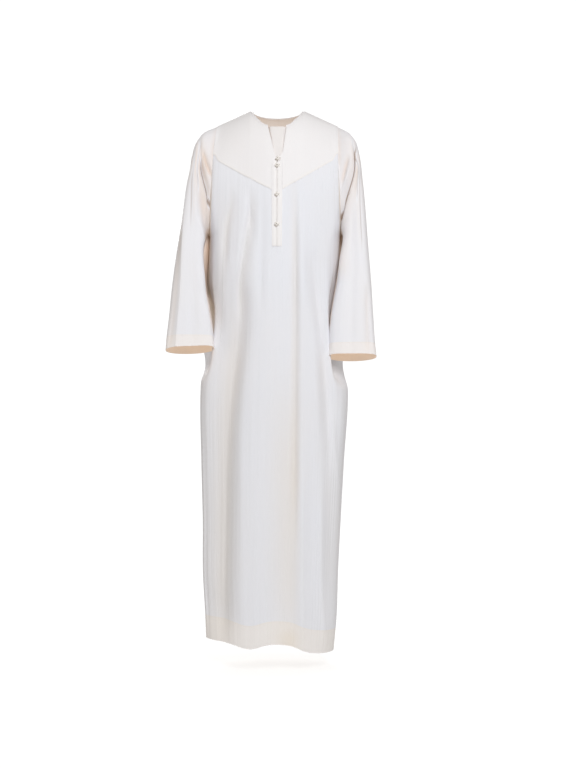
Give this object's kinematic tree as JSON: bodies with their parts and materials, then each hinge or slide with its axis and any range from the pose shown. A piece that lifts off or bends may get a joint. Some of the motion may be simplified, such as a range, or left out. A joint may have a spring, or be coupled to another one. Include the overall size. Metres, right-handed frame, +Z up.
{
  "type": "thobe robe",
  "caption": "Ankle-length collarless thobe with a round neck, chevron yoke, buttoned neck slit and straight open sleeves, hanging hollow as worn.",
  "frame": {"origin": "middle of the neck opening, level with the two shoulder neck points, where the robe hangs on the wearer's shoulders", "axes": "+Z up, -Y to the front, +X to the wearer's left"},
  "size_m": [0.5737, 0.2957, 1.4715],
  "materials": {
    "cloth": "single layer of fine plain-weave cream cloth, soft satin sheen, slightly sheer",
    "doubled_cloth": "two layers of the same cloth, warmer and denser, topstitched edges",
    "binding": "narrow bias binding in the same cloth",
    "knot_cord": "rolled cloth cord, knotted"
  },
  "bodies": {
    "root": {"front_panel": "cloth", "back_panel": "cloth", "sleeve_right": "cloth", "sleeve_left": "cloth", "front_yoke_right": "doubled_cloth", "front_yoke_left": "doubled_cloth", "back_yoke": "doubled_cloth", "cuff_turnup_right": "doubled_cloth", "cuff_turnup_left": "doubled_cloth", "hem_turnup_front": "doubled_cloth", "hem_turnup_back": "doubled_cloth", "placket_strip_right": "doubled_cloth", "placket_strip_left": "doubled_cloth", "placket_underlap": "doubled_cloth", "neck_binding": "binding", "button_1": "knot_cord", "loop_1": "knot_cord", "button_2": "knot_cord", "loop_2": "knot_cord", "button_3": "knot_cord", "loop_3": "knot_cord", "button_4": "knot_cord", "loop_4": "knot_cord"}
  },
  "joints": []
}
